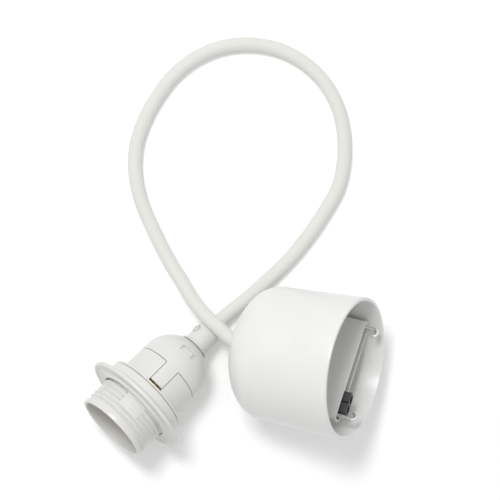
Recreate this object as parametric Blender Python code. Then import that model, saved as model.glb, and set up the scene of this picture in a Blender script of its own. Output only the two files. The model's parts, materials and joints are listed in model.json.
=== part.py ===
"""Pendant cord set lying on a table: a lampholder with its shade ring, a looped cord and a ceiling cup.

The lampholder rests on the edge of its shade ring, tilted up at the mouth, and the cup leans on its
rounded end. The cord runs from the back of the lampholder round a flat loop and over itself into the
small end of the cup, where it reaches the terminal housing. Lengths are in metres, +Z is up.
"""
import math

import bmesh
import bpy
from mathutils import Matrix, Vector

MM = 0.001
GAP = 0.3 * MM

# Lampholder: place of the mouth, and the way its axis runs from the mouth to the back
HOLDER_MOUTH_PLACE = (-63.2 * MM, -29.1 * MM)
HOLDER_HEADING = math.radians(44.3)
HOLDER_DROP = math.radians(19.0)

# Threaded skirt
BODY_RADIUS = 18.3 * MM
BODY_WALL = 1.4 * MM
SKIRT_BORE_RADIUS = BODY_RADIUS - 0.4 * MM
THREAD_ROOT_RADIUS = BODY_RADIUS + 0.5 * MM
THREAD_CREST_RADIUS = THREAD_ROOT_RADIUS + 0.9 * MM
SKIRT_BAND_RADIUS = THREAD_CREST_RADIUS - 0.1 * MM
SKIRT_BAND_LENGTH = 2.3 * MM
LIP_ROUND = 0.35 * MM
THREAD_PITCH = 2.54 * MM
THREAD_START = 3.5 * MM
THREAD_TURNS = 8
THREAD_FLAT_FROM = 8.6 * MM
THREAD_FLAT_HALF_ANGLE = math.radians(19.0)
THREAD_FLAT_HEADING = math.radians(5.0)
FLANGE_FRONT = 26.0 * MM
FLANGE_THICKNESS = 1.1 * MM
FLANGE_RADIUS = BODY_RADIUS + 4.0 * MM
PANEL_END = 41.2 * MM
SHELF_FRONT = 31.5 * MM
SHELF_THICKNESS = 1.2 * MM
SHELF_BORE_RADIUS = BODY_RADIUS - 3.8 * MM

# Shade ring, which screws along the skirt
RING_CLEARANCE = 0.4 * MM
RING_RIM_RADIUS = FLANGE_RADIUS + 7.1 * MM
RING_RIM_THICKNESS = 2.4 * MM
RING_FLANGE_BACK = 21.4 * MM
RING_COLLAR_RADIUS = FLANGE_RADIUS + 0.2 * MM
RING_HUB_FRONT = 16.3 * MM
RING_DISH_DEPTH = 1.5 * MM

# Cap at the back of the lampholder
CAP_WALL = 1.6 * MM
CAP_DOME_START = 45.0 * MM
CAP_DOME_DEPTH = 17.4 * MM
CAP_LENGTH = 61.0 * MM
CAP_SPIGOT_LENGTH = 1.9 * MM
CAP_SPIGOT_WALL = 1.3 * MM
NECK_DEPTH = 4.0 * MM
TONGUE_HALF_ANGLE = math.radians(12.3)
TONGUE_HEADING = math.radians(2.2)
TONGUE_END_GAP = 0.8 * MM
TONGUE_SIDE_GAP = 0.35 * MM
CAP_WINDOW_PLACE = 53.4 * MM
CAP_WINDOW_WIDTH = 8.4 * MM
CAP_WINDOW_LENGTH = 3.8 * MM
CAP_WINDOW_DEPTH = 0.9 * MM

# Cord and the nipple that holds it
CORD_DIAMETER = 7.4 * MM
CORD_START_IN_CAP = 57.0 * MM
CORD_REACH_IN_HOUSING = 2.9 * MM
NIPPLE_RADIUS = 6.7 * MM
NIPPLE_LENGTH = 12.7 * MM
NIPPLE_ROUND = 1.1 * MM
NIPPLE_FLANGE_RADIUS = 7.9 * MM
NIPPLE_FLANGE_THICKNESS = 1.0 * MM
NIPPLE_THREAD_RADIUS = 5.4 * MM
GRIP_SCREW_RADIUS = 2.0 * MM
GRIP_SCREW_PLACE = 7.7 * MM
GRIP_SCREW_STANDS_OUT = 0.7 * MM
GRIP_SCREW_HEADING = math.radians(66.0)
SLOT_WIDTH = 0.6 * MM
SLOT_DEPTH = 0.7 * MM

# Contact insert of the lampholder
BASE_THICKNESS = 5.7 * MM
SHELL_INNER_RADIUS = BODY_RADIUS - 5.0 * MM
SHELL_SHEET = 0.5 * MM
SHELL_WAVE = 0.45 * MM
SHELL_FRONT = 12.0 * MM
CONTACT_WIDTH = 6.0 * MM
CONTACT_FOOT = SHELL_INNER_RADIUS - 5.8 * MM
CONTACT_SHEET = 0.6 * MM
CONTACT_HEIGHT = 5.2 * MM
TERMINAL_SCREW_RADIUS = 2.6 * MM
TERMINAL_SCREW_HEIGHT = 1.8 * MM
TERMINAL_SPREAD = SHELL_INNER_RADIUS - 5.3 * MM
WIRE_DIAMETER = 2.2 * MM
WIRE_SPREAD = 1.6 * MM

# Ceiling cup: place of the middle of its widest dome section, and the way it opens
CUP_SHOULDER_PLACE = (20.4 * MM, 9.5 * MM)
CUP_HEADING = math.radians(-9.2)
CUP_RISE = math.radians(26.0)
CUP_DOME_DEPTH = 19.5 * MM
CUP_SHOULDER_RADIUS = 34.5 * MM
CUP_RIM_RADIUS = 36.2 * MM
CUP_SIDE_LENGTH = 45.7 * MM
CUP_WALL = 1.8 * MM
CUP_HOLE_RADIUS = 4.7 * MM

# Terminal housing, a flat sleeve that lies in the cup
HOUSING_WIDTH = 55.0 * MM
HOUSING_HEIGHT = 11.0 * MM
HOUSING_DEPTH = 30.0 * MM
HOUSING_WALL = 1.3 * MM
HOUSING_TOP_ROUND = 2.0 * MM
HOUSING_BOTTOM_ROUND = 6.0 * MM
HOUSING_SET_BACK = 7.3 * MM
HOUSING_ASIDE = 2.3 * MM
HOUSING_TURN = math.radians(22.4)
HOUSING_TILT = math.radians(10.0)
HOUSING_HOLE_RADIUS = 4.15 * MM

# Steel bracket with its two hooks
BRACKET_WIRE = 2.0 * MM
BRACKET_SPREAD = HOUSING_WIDTH - 6.0 * MM
HOOK_REACH = 6.6 * MM
LOW_HOOK_REACH = 9.2 * MM
HOOK_ROUND = 1.7 * MM
BRACKET_BEND = 4.0 * MM
BRACKET_BEHIND = 4.6 * MM

# Terminal block with two poles
BLOCK_POLE_WIDTH = 5.4 * MM
BLOCK_HEIGHT = 6.6 * MM
BLOCK_LENGTH = 15.0 * MM
BLOCK_PLACE = HOUSING_WIDTH / 2.0 - 10.9 * MM
BLOCK_STANDS_OUT = 3.6 * MM
BLOCK_WAIST = 3.6 * MM
BARREL_RADIUS = 1.9 * MM
BARREL_BORE = 1.1 * MM
BLOCK_SCREW_RADIUS = 1.3 * MM

# Route of the cord's centre, hand placed, in millimetres: lampholder, loop, over itself, cup
CORD_ROUTE = (
    (-24.6, 8.6, 15.2), (-18.5, 14.6, 12.3), (-13.1, 19.9, 9.7), (-9.1, 23.9, 7.7), (-4.9, 27.8, 5.8),
    (5.4, 36.1, 4.0), (17.4, 46.6, 3.75), (28.3, 57.2, 3.75), (37.1, 67.8, 3.75), (44.6, 78.4, 3.75),
    (53.8, 94.1, 3.75), (57.3, 108.0, 3.75), (57.6, 122.5, 3.75), (54.6, 137.1, 3.75),
    (47.6, 150.6, 3.75), (36.6, 161.5, 3.75), (22.9, 168.6, 3.75), (7.7, 171.3, 3.75),
    (-7.5, 169.7, 3.75), (-21.3, 163.8, 3.75), (-32.6, 154.8, 3.75), (-41.3, 143.5, 3.75),
    (-48.0, 131.2, 3.75), (-52.4, 117.6, 3.75), (-52.9, 103.0, 3.75), (-49.8, 88.4, 3.75),
    (-43.7, 74.0, 4.3), (-35.2, 57.3, 6.6), (-28.6, 46.9, 9.6), (-22.3, 36.5, 13.1),
    (-15.7, 28.7, 16.4), (-8.6, 22.0, 19.6), (-1.0, 15.4, 22.4), (3.1, 12.8, 23.8),
    (8.1, 10.4, 25.0), (14.3, 9.2, 25.6), (20.3, 8.5, 25.9), (25.9, 7.7, 26.5), (32.0, 6.3, 27.7),
    (35.7, 5.5, 28.8),
)
CORD_POINTS = 80
CORD_STOP_RADIUS = 6.6 * MM
CORD_STOP_LENGTH = 4.0 * MM
CORD_STOP_FROM_END = 25.5 * MM

# Facets round a turned piece
CUP_FACETS = 48
LARGE_FACETS = 36
MEDIUM_FACETS = 24
SMALL_FACETS = 16


def clear_scene():
    for old in list(bpy.data.objects):
        bpy.data.objects.remove(old, do_unlink=True)


def finish(name, colour, roughness, metallic=0.0):
    material = bpy.data.materials.new(name)
    material.use_nodes = True
    shader = material.node_tree.nodes["Principled BSDF"]
    shader.inputs["Base Color"].default_value = (*colour, 1.0)
    shader.inputs["Roughness"].default_value = roughness
    shader.inputs["Metallic"].default_value = metallic
    return material


def frame(name, origin, along, up):
    """Empty whose Z runs along a piece's axis and whose Y points up as far as it can."""
    side = up.cross(along).normalized()
    turn = Matrix((side, along.cross(side), along)).transposed()
    empty = bpy.data.objects.new(name, None)
    bpy.context.collection.objects.link(empty)
    empty.matrix_world = Matrix.Translation(origin) @ turn.to_4x4()
    return empty


def add_object(name, mesh, material, parent=None, place=None, smooth=True):
    piece = bpy.data.objects.new(name, mesh)
    bpy.context.collection.objects.link(piece)
    if parent is not None:
        piece.parent = parent
    if place is not None:
        piece.matrix_basis = place
    piece.data.materials.append(material)
    if smooth:
        mesh.shade_smooth()
        mesh.set_sharp_from_angle(angle=math.radians(35.0))
    return piece


def mesh_from(build, name):
    """Mesh made by a function that fills a bmesh, with its faces turned outwards."""
    work = bmesh.new()
    build(work)
    bmesh.ops.recalc_face_normals(work, faces=work.faces)
    mesh = bpy.data.meshes.new(name)
    work.to_mesh(mesh)
    work.free()
    return mesh


def turned_mesh(name, section, facets):
    """Ring turned round Z from a closed section of (place along Z, radius) points."""
    def build(work):
        rings = []
        for step in range(facets):
            angle = 2.0 * math.pi * step / facets
            rings.append([work.verts.new((radius * math.sin(angle), radius * math.cos(angle), along))
                          for along, radius in section])
        for step in range(facets):
            near, far = rings[step], rings[(step + 1) % facets]
            for point in range(len(section)):
                after = (point + 1) % len(section)
                work.faces.new((near[point], near[after], far[after], far[point]))
    return mesh_from(build, name)


def rod_mesh(name, radius, start, end, facets):
    def build(work):
        place = Matrix.Translation((0.0, 0.0, (start + end) / 2.0))
        bmesh.ops.create_cone(work, cap_ends=True, segments=facets, radius1=radius, radius2=radius,
                              depth=end - start, matrix=place)
    return mesh_from(build, name)


def box_mesh(name, low, high):
    def build(work):
        size = [high[axis] - low[axis] for axis in range(3)]
        middle = [(high[axis] + low[axis]) / 2.0 for axis in range(3)]
        bmesh.ops.create_cube(work, size=1.0, matrix=Matrix.Translation(middle) @ Matrix.Diagonal((*size, 1.0)))
    return mesh_from(build, name)


def prism_mesh(name, outline, start, end):
    """Closed outline of (x, y) points, pulled along Z."""
    def build(work):
        near = [work.verts.new((x, y, start)) for x, y in outline]
        far = [work.verts.new((x, y, end)) for x, y in outline]
        work.faces.new(near)
        work.faces.new(far)
        for point in range(len(outline)):
            after = (point + 1) % len(outline)
            work.faces.new((near[point], near[after], far[after], far[point]))
    return mesh_from(build, name)


def sector_mesh(name, start, end, inner, outer, heading, half_angle, steps=6):
    """Part of a tube: a heading is measured from +Y towards +X."""
    outline = []
    for radius, order in ((outer, 1.0), (inner, -1.0)):
        for step in range(steps + 1):
            angle = heading + order * half_angle * (2.0 * step / steps - 1.0)
            outline.append((radius * math.sin(angle), radius * math.cos(angle)))
    return prism_mesh(name, outline, start, end)


def boolean(piece, cutter_mesh, operation="DIFFERENCE", place=None):
    """Cuts or joins a helper mesh, which stays as a hidden wire object under the same parent."""
    helper = bpy.data.objects.new(piece.name + "_helper", cutter_mesh)
    bpy.context.collection.objects.link(helper)
    helper.parent = piece.parent
    helper.matrix_basis = piece.matrix_basis @ (place or Matrix.Identity(4))
    helper.hide_render = True
    helper.display_type = "WIRE"
    modifier = piece.modifiers.new(operation.lower(), "BOOLEAN")
    modifier.object = helper
    modifier.operation = operation
    modifier.solver = "EXACT"
    return helper


def ellipse(centre, depth, radius, start, end, steps):
    """Points of a dome's section: angle 0 is its widest place and 90 degrees its tip."""
    points = []
    for step in range(steps + 1):
        angle = start + (end - start) * step / steps
        points.append((centre + depth * math.sin(angle), radius * math.cos(angle)))
    return points


def wire(name, points, diameter, material, parent, facets_level=2, place=None):
    """Round wire through its points, with closed ends."""
    curve = bpy.data.curves.new(name, "CURVE")
    curve.dimensions = "3D"
    curve.bevel_depth = diameter / 2.0
    curve.bevel_resolution = facets_level
    curve.use_fill_caps = True
    spline = curve.splines.new("POLY")
    spline.points.add(len(points) - 1)
    for target, point in zip(spline.points, points):
        target.co = (*point, 1.0)
    piece = bpy.data.objects.new(name, curve)
    bpy.context.collection.objects.link(piece)
    piece.parent = parent
    if place is not None:
        piece.matrix_basis = place
    curve.materials.append(material)
    return piece


def smooth_route(points, count):
    """Points read at even steps from a smooth curve through the route's own points."""
    ends = [points[0] * 2.0 - points[1]] + list(points) + [points[-1] * 2.0 - points[-2]]
    fine = []
    for index in range(1, len(ends) - 2):
        before, start, end, after = ends[index - 1:index + 3]
        for step in range(12):
            t = step / 12.0
            fine.append(0.5 * (2.0 * start + (end - before) * t
                               + (2.0 * before - 5.0 * start + 4.0 * end - after) * t ** 2
                               + (3.0 * start - before - 3.0 * end + after) * t ** 3))
    fine.append(points[-1])
    lengths = [0.0]
    for near, far in zip(fine, fine[1:]):
        lengths.append(lengths[-1] + (far - near).length)
    even = []
    index = 0
    for step in range(count):
        wanted = lengths[-1] * step / (count - 1)
        while index < len(fine) - 2 and lengths[index + 1] < wanted:
            index += 1
        share = (wanted - lengths[index]) / (lengths[index + 1] - lengths[index])
        even.append(fine[index].lerp(fine[index + 1], min(max(share, 0.0), 1.0)))
    return even


def bend(corner, start, end, radius, steps=4):
    """Round bend at a corner between two straight runs, as points."""
    back = (start - corner).normalized()
    ahead = (end - corner).normalized()
    half = back.angle(ahead) / 2.0
    reach = radius / math.tan(half)
    middle = corner + (back + ahead).normalized() * radius / math.sin(half)
    first = (corner + back * reach - middle).normalized()
    last = (corner + ahead * reach - middle).normalized()
    return [middle + first.slerp(last, step / steps) * radius for step in range(steps + 1)]


def ring_rim_middle():
    return RING_HUB_FRONT + RING_DISH_DEPTH / 2.0 + RING_RIM_THICKNESS / 2.0


def mouth_height():
    """Height at which the shade ring's rim just touches the table."""
    half = RING_RIM_THICKNESS / 2.0
    return (ring_rim_middle() * math.sin(HOLDER_DROP) + (RING_RIM_RADIUS - half) * math.cos(HOLDER_DROP) + half)


def shoulder_height():
    """Height at which the cup's domed end just touches the table."""
    return math.hypot(CUP_DOME_DEPTH * math.sin(CUP_RISE), CUP_SHOULDER_RADIUS * math.cos(CUP_RISE))


def body_inner_radius():
    return BODY_RADIUS - BODY_WALL


def base_front():
    return SHELF_FRONT + SHELF_THICKNESS + GAP


def base_back():
    return base_front() + BASE_THICKNESS


def build_threaded_skirt(parent, white):
    """Skirt with the outer thread, its flange, and the panels that reach back over the insert."""
    section = [(0.0, SKIRT_BORE_RADIUS + LIP_ROUND), (0.0, SKIRT_BAND_RADIUS - LIP_ROUND),
               (LIP_ROUND, SKIRT_BAND_RADIUS), (SKIRT_BAND_LENGTH, SKIRT_BAND_RADIUS)]
    for turn in range(THREAD_TURNS):
        crest = THREAD_START + turn * THREAD_PITCH
        section += [(crest - 0.4 * THREAD_PITCH, THREAD_ROOT_RADIUS), (crest, THREAD_CREST_RADIUS),
                    (crest + 0.4 * THREAD_PITCH, THREAD_ROOT_RADIUS)]
    flange_back = FLANGE_FRONT + FLANGE_THICKNESS
    inner = body_inner_radius()
    section += [(FLANGE_FRONT, THREAD_ROOT_RADIUS), (FLANGE_FRONT, FLANGE_RADIUS),
                (flange_back, FLANGE_RADIUS), (flange_back, BODY_RADIUS), (PANEL_END, BODY_RADIUS),
                (PANEL_END, inner), (SHELF_FRONT + SHELF_THICKNESS, inner),
                (SHELF_FRONT + SHELF_THICKNESS, SHELF_BORE_RADIUS), (SHELF_FRONT, SHELF_BORE_RADIUS),
                (SHELF_FRONT, inner), (FLANGE_FRONT, inner),
                (FLANGE_FRONT - BODY_WALL, SKIRT_BORE_RADIUS), (LIP_ROUND, SKIRT_BORE_RADIUS)]
    skirt = add_object("threaded_skirt", turned_mesh("threaded_skirt", section, LARGE_FACETS), white, parent)
    for heading in (THREAD_FLAT_HEADING, THREAD_FLAT_HEADING + math.pi):
        flat = sector_mesh("thread_flat", THREAD_FLAT_FROM, FLANGE_FRONT - GAP, THREAD_ROOT_RADIUS,
                           THREAD_CREST_RADIUS + BODY_WALL, heading, THREAD_FLAT_HALF_ANGLE)
        boolean(skirt, flat)
    side_angle = TONGUE_HALF_ANGLE + TONGUE_SIDE_GAP / BODY_RADIUS
    for heading in (TONGUE_HEADING, TONGUE_HEADING + math.pi):
        slot = sector_mesh("tongue_slot", flange_back + GAP, PANEL_END + BODY_WALL,
                           inner - BODY_WALL / 2.0, BODY_RADIUS + BODY_WALL, heading, side_angle)
        boolean(skirt, slot)
    return skirt


def build_shade_ring(parent, white):
    """Dished ring with a rolled rim and a plain collar, clear of the thread's crests."""
    bore = THREAD_CREST_RADIUS + RING_CLEARANCE
    dish = RING_HUB_FRONT + RING_DISH_DEPTH
    rim_half = RING_RIM_THICKNESS / 2.0
    rim_middle = ring_rim_middle()
    collar_end = FLANGE_FRONT - GAP
    section = [(RING_HUB_FRONT + LIP_ROUND, bore), (RING_HUB_FRONT, bore + LIP_ROUND),
               (RING_HUB_FRONT, bore + 1.2 * MM), (dish, bore + 2.2 * MM),
               (dish, RING_RIM_RADIUS - 2.4 * MM)]
    for step in range(7):
        angle = math.radians(200.0 - step * 36.0)
        section.append((rim_middle + rim_half * math.cos(angle),
                        RING_RIM_RADIUS - rim_half + rim_half * math.sin(angle)))
    section += [(RING_FLANGE_BACK - 1.2 * MM, RING_COLLAR_RADIUS + 2.0 * MM),
                (RING_FLANGE_BACK, RING_COLLAR_RADIUS), (collar_end - LIP_ROUND, RING_COLLAR_RADIUS),
                (collar_end, RING_COLLAR_RADIUS - LIP_ROUND), (collar_end, bore)]
    return add_object("shade_ring", turned_mesh("shade_ring", section, LARGE_FACETS), white, parent)


def build_holder_cap(parent, white):
    """Domed cap with a neck for the nipple and two tongues between the skirt's panels."""
    spigot_outer = body_inner_radius() - GAP
    spigot_inner = spigot_outer - CAP_SPIGOT_WALL
    cap_front = PANEL_END + GAP
    neck_bore = NIPPLE_THREAD_RADIUS + GAP
    neck_inner = CAP_LENGTH - NECK_DEPTH
    inner_depth = CAP_DOME_DEPTH - CAP_WALL
    inner_radius = BODY_RADIUS - CAP_WALL
    tip = math.asin((CAP_LENGTH - CAP_DOME_START) / CAP_DOME_DEPTH)
    inner_tip = math.asin((neck_inner - CAP_DOME_START) / inner_depth)
    section = [(cap_front - CAP_SPIGOT_LENGTH, spigot_inner), (cap_front - CAP_SPIGOT_LENGTH, spigot_outer),
               (cap_front, spigot_outer), (cap_front, BODY_RADIUS)]
    section += ellipse(CAP_DOME_START, CAP_DOME_DEPTH, BODY_RADIUS, 0.0, tip, 7)
    section += [(CAP_LENGTH, neck_bore), (neck_inner, neck_bore)]
    section += ellipse(CAP_DOME_START, inner_depth, inner_radius, inner_tip, 0.0, 5)
    section.append((cap_front + CAP_WALL / 2.0, spigot_inner))
    cap = add_object("holder_cap", turned_mesh("holder_cap", section, LARGE_FACETS), white, parent)
    tongue_front = FLANGE_FRONT + FLANGE_THICKNESS + TONGUE_END_GAP
    for heading in (TONGUE_HEADING, TONGUE_HEADING + math.pi):
        tongue = sector_mesh("tongue", tongue_front, cap_front + CAP_WALL, body_inner_radius() + GAP,
                             BODY_RADIUS - 0.02 * MM, heading, TONGUE_HALF_ANGLE)
        boolean(cap, tongue, "UNION")
    along_dome = (CAP_WINDOW_PLACE - CAP_DOME_START) / CAP_DOME_DEPTH
    height = BODY_RADIUS * math.sqrt(1.0 - along_dome ** 2)
    slope = math.atan2(BODY_RADIUS * along_dome, CAP_DOME_DEPTH * math.sqrt(1.0 - along_dome ** 2))
    half_width, half_length = CAP_WINDOW_WIDTH / 2.0, CAP_WINDOW_LENGTH / 2.0
    window = box_mesh("cap_window", (-half_width, -CAP_WINDOW_DEPTH, -half_length),
                      (half_width, 2.0 * CAP_WALL, half_length))
    turn = Matrix.Rotation(-TONGUE_HEADING, 4, "Z")
    place = turn @ Matrix.Translation((0.0, height, CAP_WINDOW_PLACE)) @ Matrix.Rotation(slope, 4, "X")
    boolean(cap, window, place=place)
    return cap


def build_nipple(parent, white, steel):
    """Nipple in the cap's neck, and the slotted screw in its side that holds the cord."""
    bore = CORD_DIAMETER / 2.0 + GAP
    seat = CAP_LENGTH + GAP
    barrel = seat + NIPPLE_FLANGE_THICKNESS
    end = seat + NIPPLE_LENGTH
    section = [(CAP_LENGTH - NECK_DEPTH + GAP, bore), (CAP_LENGTH - NECK_DEPTH + GAP, NIPPLE_THREAD_RADIUS),
               (seat, NIPPLE_THREAD_RADIUS), (seat, NIPPLE_FLANGE_RADIUS), (barrel, NIPPLE_FLANGE_RADIUS),
               (barrel, NIPPLE_RADIUS)]
    for step in range(5):
        angle = math.radians(22.5 * step)
        section.append((end - NIPPLE_ROUND + NIPPLE_ROUND * math.sin(angle),
                        NIPPLE_RADIUS - NIPPLE_ROUND + NIPPLE_ROUND * math.cos(angle)))
    section.append((end, bore))
    nipple = add_object("cord_grip_nipple", turned_mesh("cord_grip_nipple", section, MEDIUM_FACETS), white,
                        parent)
    across = Matrix.Rotation(-GRIP_SCREW_HEADING, 4, "Z") @ Matrix.Translation(
        (0.0, 0.0, seat + GRIP_SCREW_PLACE)) @ Matrix.Rotation(-math.pi / 2.0, 4, "X")
    hole = rod_mesh("grip_hole", GRIP_SCREW_RADIUS + GAP, bore - NIPPLE_ROUND, NIPPLE_RADIUS + NIPPLE_ROUND,
                    SMALL_FACETS)
    boolean(nipple, hole, place=across)
    top = NIPPLE_RADIUS + GRIP_SCREW_STANDS_OUT
    screw = add_object("grip_screw", rod_mesh("grip_screw", GRIP_SCREW_RADIUS, bore, top, SMALL_FACETS),
                       steel, parent, across)
    slot = box_mesh("slot", (-2.0 * GRIP_SCREW_RADIUS, -SLOT_WIDTH / 2.0, top - SLOT_DEPTH),
                    (2.0 * GRIP_SCREW_RADIUS, SLOT_WIDTH / 2.0, top + SLOT_DEPTH))
    boolean(screw, slot)
    return nipple


def build_contact_insert(parent, ceramic, brass, steel, brown, blue):
    """Contact base, screw shell, centre contact, terminals and the two wires inside the lampholder."""
    front, back = base_front(), base_back()
    base_radius = body_inner_radius() - GAP
    base = add_object("contact_base", rod_mesh("contact_base", base_radius, front, back, MEDIUM_FACETS),
                      ceramic, parent)
    for side in (-1.0, 1.0):
        pocket = rod_mesh("wire_pocket", WIRE_DIAMETER, front - GAP, back + GAP, SMALL_FACETS)
        boolean(base, pocket, place=Matrix.Translation((0.0, side * TERMINAL_SPREAD, 0.0)))
    turns = 4
    steps = 2 * turns
    shell_back = front - GAP
    length = shell_back - SHELL_FRONT
    outer, inner = [], []
    for step in range(steps + 1):
        along = SHELL_FRONT + length * step / steps
        wave = SHELL_WAVE * (step % 2)
        inner.append((along, SHELL_INNER_RADIUS - wave))
        outer.append((along, SHELL_INNER_RADIUS - wave + SHELL_SHEET))
    section = outer + inner[::-1]
    add_object("screw_shell", turned_mesh("screw_shell", section, MEDIUM_FACETS), brass, parent)
    half = CONTACT_WIDTH / 2.0
    foot, sheet, rise = CONTACT_FOOT, CONTACT_SHEET, CONTACT_HEIGHT
    outline = [(-foot, 0.0), (2.0 * MM, 0.0), (-1.0 * MM, -rise + sheet), (foot, -rise), (foot, -rise - sheet),
               (-1.8 * MM, -rise), (0.8 * MM, -sheet), (-foot, -sheet)]
    place = Matrix.Translation((0.0, 0.0, front - GAP)) @ Matrix.Rotation(math.pi / 2.0, 4, "X")
    add_object("centre_contact", prism_mesh("centre_contact", outline, -half, half), brass, parent, place,
               smooth=False)

    bottom = back + GAP
    top = bottom + TERMINAL_SCREW_HEIGHT
    cord_end = CORD_START_IN_CAP - GAP
    for side, pole, colour in ((-1.0, "live", brown), (1.0, "neutral", blue)):
        head = add_object("holder_screw_" + pole,
                          rod_mesh("holder_screw", TERMINAL_SCREW_RADIUS, bottom, top, SMALL_FACETS), steel,
                          parent, Matrix.Translation((side * TERMINAL_SPREAD, 0.0, 0.0)))
        groove = box_mesh("groove", (-2.0 * TERMINAL_SCREW_RADIUS, -SLOT_WIDTH / 2.0, top - SLOT_DEPTH),
                          (2.0 * TERMINAL_SCREW_RADIUS, SLOT_WIDTH / 2.0, top + SLOT_DEPTH))
        boolean(head, groove)
        start = Vector((side * WIRE_SPREAD, 0.0, cord_end))
        end = Vector((side * TERMINAL_SPREAD, 0.0, top + GAP))
        lower = Vector((side * TERMINAL_SPREAD, 0.0, (cord_end + top) / 2.0 - MM))
        upper = Vector((side * WIRE_SPREAD, 0.0, (cord_end + top) / 2.0 + 2.0 * MM))
        route = smooth_route([start, upper, lower, end], 12)
        wire("holder_wire_" + pole, route, WIRE_DIAMETER, colour, parent, 1)


def cup_inner_radius(along):
    """Radius of the cup's inner side wall at a distance from the dome's tip."""
    share = (along - CUP_DOME_DEPTH) / CUP_SIDE_LENGTH
    return CUP_SHOULDER_RADIUS - CUP_WALL + share * (CUP_RIM_RADIUS - CUP_SHOULDER_RADIUS)


def build_ceiling_cup(parent, white):
    """Cup turned in one piece, with a domed end and a hole for the cord."""
    length = CUP_DOME_DEPTH + CUP_SIDE_LENGTH
    hole = math.acos(CUP_HOLE_RADIUS / CUP_SHOULDER_RADIUS)
    inner_radius, inner_depth = CUP_SHOULDER_RADIUS - CUP_WALL, CUP_DOME_DEPTH - CUP_WALL
    inner_hole = math.acos(CUP_HOLE_RADIUS / inner_radius)
    section = [(along, radius) for along, radius in
               ellipse(CUP_DOME_DEPTH, -CUP_DOME_DEPTH, CUP_SHOULDER_RADIUS, hole, 0.0, 11)]
    section += [(length - LIP_ROUND, CUP_RIM_RADIUS), (length, CUP_RIM_RADIUS - LIP_ROUND),
                (length, CUP_RIM_RADIUS - CUP_WALL + LIP_ROUND), (length - LIP_ROUND, CUP_RIM_RADIUS - CUP_WALL)]
    section += ellipse(CUP_DOME_DEPTH, -inner_depth, inner_radius, 0.0, inner_hole, 8)
    return add_object("ceiling_cup", turned_mesh("ceiling_cup", section, CUP_FACETS), white, parent)


def housing_frame(cup):
    """Empty at the middle of the housing's open front, with its bottom corners near the cup's wall."""
    along = CUP_DOME_DEPTH + CUP_SIDE_LENGTH - HOUSING_SET_BACK
    low_edge = along - HOUSING_HEIGHT / 2.0 * math.sin(HOUSING_TILT)
    reach = cup_inner_radius(low_edge) - 2.0 * GAP - HOUSING_BOTTOM_ROUND
    across = HOUSING_WIDTH / 2.0 - HOUSING_BOTTOM_ROUND + HOUSING_ASIDE
    drop = math.sqrt(reach ** 2 - across ** 2) + HOUSING_BOTTOM_ROUND - HOUSING_HEIGHT / 2.0
    empty = bpy.data.objects.new("housing_frame", None)
    bpy.context.collection.objects.link(empty)
    empty.parent = cup
    empty.matrix_basis = (Matrix.Rotation(-HOUSING_TURN, 4, "Z") @ Matrix.Translation((HOUSING_ASIDE, -drop, along))
                          @ Matrix.Rotation(HOUSING_TILT, 4, "X"))
    return empty


def rounded_outline(half_width, bottom, top, bottom_round, top_round, steps=4):
    """Flat box's outline, with one radius for its lower corners and one for its upper ones."""
    corners = ((half_width, top, top_round, 0.0), (-half_width, top, top_round, 90.0),
               (-half_width, bottom, bottom_round, 180.0), (half_width, bottom, bottom_round, 270.0))
    outline = []
    for x, y, radius, start in corners:
        middle_x = x - math.copysign(radius, x)
        middle_y = y - radius if y == top else y + radius
        for step in range(steps + 1):
            angle = math.radians(start + 90.0 * step / steps)
            outline.append((middle_x + radius * math.cos(angle), middle_y + radius * math.sin(angle)))
    return outline


def build_terminal_housing(parent, white):
    """Tray and cover that meet at half height, closed at the back but for the cord's hole."""
    half, low, high = HOUSING_WIDTH / 2.0, -HOUSING_HEIGHT / 2.0, HOUSING_HEIGHT / 2.0
    outer = rounded_outline(half, low, high, HOUSING_BOTTOM_ROUND, HOUSING_TOP_ROUND)
    inner = rounded_outline(half - HOUSING_WALL, low + HOUSING_WALL, high - HOUSING_WALL,
                            HOUSING_BOTTOM_ROUND - HOUSING_WALL, HOUSING_TOP_ROUND - HOUSING_WALL)
    for name, keep_low in (("terminal_tray", True), ("terminal_cover", False)):
        shell = add_object(name, prism_mesh(name, outer, -HOUSING_DEPTH, 0.0), white, parent)
        boolean(shell, prism_mesh("cavity", inner, HOUSING_WALL - HOUSING_DEPTH, HOUSING_WALL))
        boolean(shell, rod_mesh("cord_hole", HOUSING_HOLE_RADIUS, -HOUSING_DEPTH - HOUSING_WALL,
                                2.0 * HOUSING_WALL - HOUSING_DEPTH, MEDIUM_FACETS))
        bottom, top = (-GAP / 2.0, 2.0 * high) if keep_low else (2.0 * low, GAP / 2.0)
        boolean(shell, box_mesh("half", (-HOUSING_WIDTH, bottom, -2.0 * HOUSING_DEPTH),
                                (HOUSING_WIDTH, top, HOUSING_DEPTH)))


def cord_end_in_housing():
    return HOUSING_WALL + CORD_REACH_IN_HOUSING - HOUSING_DEPTH


def build_bracket(parent, steel):
    """Steel wire bent into a U inside the housing, whose ends come out as two hooks."""
    side = BRACKET_SPREAD / 2.0
    back = cord_end_in_housing() + BRACKET_BEHIND
    cross = HOUSING_HEIGHT / 2.0 - HOUSING_WALL - GAP - BRACKET_WIRE / 2.0
    corner = Vector((side, cross, back))
    halves = []
    for reach in (HOOK_REACH, LOW_HOOK_REACH):
        half = bend(corner, Vector((0.0, cross, back)), Vector((side, cross, reach)), BRACKET_BEND)
        for step in range(8):
            angle = math.radians(27.0 * step)
            half.append(Vector((side - HOOK_ROUND * (1.0 - math.cos(angle)), cross,
                                reach - HOOK_ROUND + HOOK_ROUND * math.sin(angle))))
        halves.append(half)
    upper, lower = halves
    route = [Vector((-point.x, point.y, point.z)) for point in reversed(lower)] + upper
    wire("suspension_bracket", route, BRACKET_WIRE, steel, parent, 2)


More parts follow.
